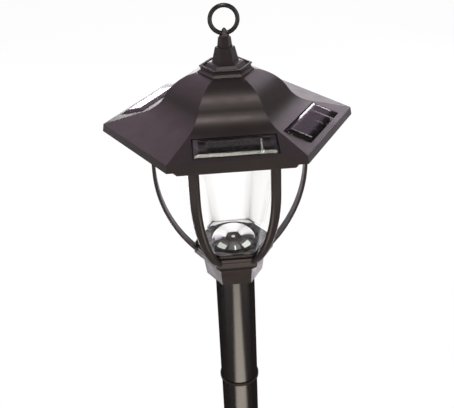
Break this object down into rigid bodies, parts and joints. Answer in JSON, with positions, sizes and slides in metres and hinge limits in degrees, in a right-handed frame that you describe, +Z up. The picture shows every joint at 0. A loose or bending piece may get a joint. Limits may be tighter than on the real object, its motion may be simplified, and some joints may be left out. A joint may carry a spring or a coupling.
{
  "type": "solar garden light",
  "caption": "Hexagonal solar lantern with an ogee roof, curved rib cage, clear lens and mirror dome, on a pole with a ground spike.",
  "frame": {"origin": "on the pole's axis at ground level, where the spike's stop flange meets the soil", "axes": "+Z up along the pole; -Y towards the front solar panel; +X to the right seen from the front, through two corners of the hexagonal roof"},
  "size_m": [0.182, 0.1576, 0.6156],
  "materials": {
    "dark_plastic": "satin dark bronze moulded plastic",
    "dark_metal": "black-brown painted metal",
    "clear_plastic": "clear moulded acrylic",
    "clear_cover": "clear glossy acrylic",
    "metallised": "vacuum-metallised mirror",
    "solar_cell": "dark silicon with fine silver lines",
    "screw_steel": "zinc-plated steel",
    "seal_rubber": "matt foam rubber",
    "board": "green solder mask",
    "inner_plastic": "black moulded plastic",
    "white_plastic": "white moulded plastic",
    "lamp_epoxy": "clear epoxy over a yellow phosphor",
    "battery_sleeve": "plain shrink sleeve",
    "contact_metal": "nickel-plated spring steel"
  },
  "bodies": {
    "stake": {"ground_spike": "dark_plastic", "pole_lower": "dark_metal", "pole_coupler": "dark_plastic"},
    "upper_pole": {"pole_upper": "dark_metal"},
    "lantern": {"pole_socket": "dark_plastic", "base_plate": "dark_plastic", "cage_ring": "dark_plastic", "tray": "dark_plastic", "roof_shell": "dark_plastic", "roof_cap": "dark_plastic", "finial": "dark_plastic", "cage_rib_1": "dark_plastic", "cage_rib_2": "dark_plastic", "cage_rib_3": "dark_plastic", "cage_rib_4": "dark_plastic", "cage_rib_5": "dark_plastic", "cage_rib_6": "dark_plastic", "lens": "clear_plastic", "panel_cover_1": "clear_cover", "panel_cover_2": "clear_cover", "panel_cover_3": "clear_cover", "panel_cover_4": "clear_cover", "reflector": "metallised", "solar_cell_1": "solar_cell", "solar_cell_2": "solar_cell", "solar_cell_3": "solar_cell", "solar_cell_4": "solar_cell", "base_screws": "screw_steel", "cage_screws": "screw_steel", "tray_screws": "screw_steel", "board_screws": "screw_steel", "finial_nut": "screw_steel", "gasket": "seal_rubber", "circuit_board": "board", "battery_box": "inner_plastic", "switch_body": "inner_plastic", "light_holder": "white_plastic", "lamp": "lamp_epoxy", "battery": "battery_sleeve", "battery_contacts": "contact_metal"},
    "ring": {"hanging_ring": "dark_metal"},
    "switch_knob": {"switch_slider": "dark_plastic"},
    "door": {"battery_door": "dark_plastic"}
  },
  "joints": [
    {"name": "pole_pull", "type": "slide", "parent": "stake", "child": "upper_pole", "axis": [0, 0, 1], "range_m": [0, 0.026]},
    {"name": "lantern_lift", "type": "slide", "parent": "upper_pole", "child": "lantern", "axis": [0, 0, 1], "range_m": [0, 0.018]},
    {"name": "ring_swing", "type": "hinge", "parent": "lantern", "child": "ring", "pos_m": [0, 0, 0.44514], "axis": [1, 0, 0], "range_deg": [-90, 90]},
    {"name": "switch_slide", "type": "slide", "parent": "lantern", "child": "switch_knob", "axis": [-0.5, -0.866, 0], "range_m": [0, 0.003]},
    {"name": "door_hinge", "type": "hinge", "parent": "lantern", "child": "door", "pos_m": [0.05655, 0.03265, 0.37305], "axis": [0.5, -0.866, 0], "range_deg": [0, 100]}
  ]
}
